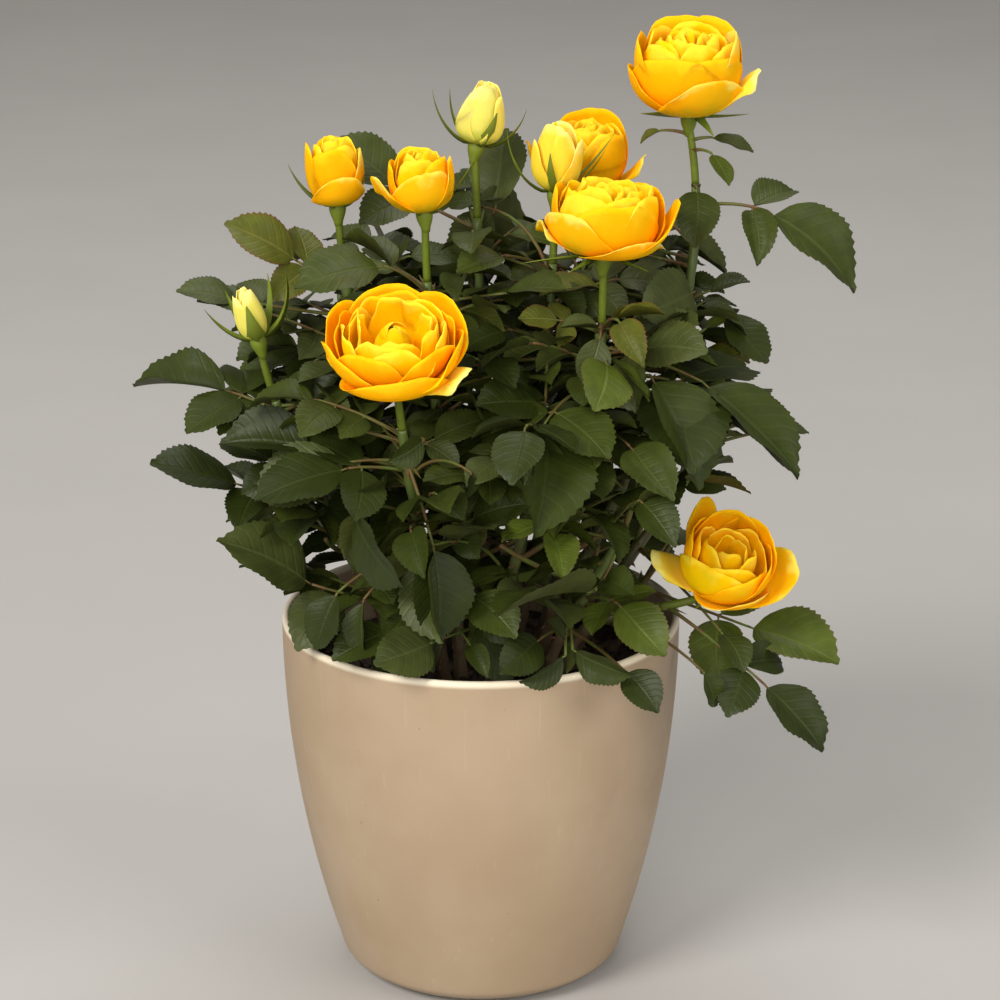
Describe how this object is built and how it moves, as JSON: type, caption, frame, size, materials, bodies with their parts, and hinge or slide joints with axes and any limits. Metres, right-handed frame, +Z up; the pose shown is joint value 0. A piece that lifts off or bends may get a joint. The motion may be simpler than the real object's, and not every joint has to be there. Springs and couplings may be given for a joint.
{
  "type": "potted miniature rose bush",
  "caption": "Miniature yellow rose bush with open blooms and buds on leafy canes, growing in compost in a plain round cream plastic pot.",
  "frame": {"origin": "the middle of the pot's flat underside", "axes": "+Z up along the pot's axis, -Y towards the viewer of the picture (the front), +X to the viewer's right"},
  "size_m": [0.2859, 0.2241, 0.3855],
  "materials": {
    "pot_plastic": "matt cream plastic, slightly paler at the rim",
    "compost": "dark moist compost, rough and crumbly",
    "cane_bark": "smooth green cane, browner at the foot",
    "foliage": "dark green leaves with a dull sheen",
    "petals": "soft golden yellow petals, paler on the outside",
    "bud_petals": "pale yellow buds in green sepals"
  },
  "bodies": {
    "root": {"pot": "pot_plastic", "compost": "compost", "cane_right_tall": "cane_bark", "leaves_right_tall": "foliage", "rose_right_tall": "petals", "cane_right_back": "cane_bark", "leaves_right_back": "foliage", "rose_right_back": "petals", "cane_right_inner": "cane_bark", "leaves_right_inner": "foliage", "rose_right_inner": "petals", "cane_right_front": "cane_bark", "leaves_right_front": "foliage", "rose_right_front": "petals", "cane_middle": "cane_bark", "leaves_middle": "foliage", "bud_middle": "bud_petals", "cane_middle_left": "cane_bark", "leaves_middle_left": "foliage", "rose_middle_left": "petals", "cane_left_tall": "cane_bark", "leaves_left_tall": "foliage", "rose_left_tall": "petals", "cane_front_left": "cane_bark", "leaves_front_left": "foliage", "rose_front_left": "petals", "cane_left": "cane_bark", "leaves_left": "foliage", "bud_left": "bud_petals", "cane_right_low": "cane_bark", "leaves_right_low": "foliage", "rose_right_low": "petals", "cane_left_low": "cane_bark", "leaves_left_low": "foliage", "cane_front_middle": "cane_bark", "leaves_front_middle": "foliage", "cane_front_right": "cane_bark", "leaves_front_right": "foliage", "cane_right_side": "cane_bark", "leaves_right_side": "foliage", "cane_rear_right": "cane_bark", "leaves_rear_right": "foliage", "cane_rear_middle": "cane_bark", "leaves_rear_middle": "foliage", "cane_rear_left": "cane_bark", "leaves_rear_left": "foliage"}
  },
  "joints": []
}
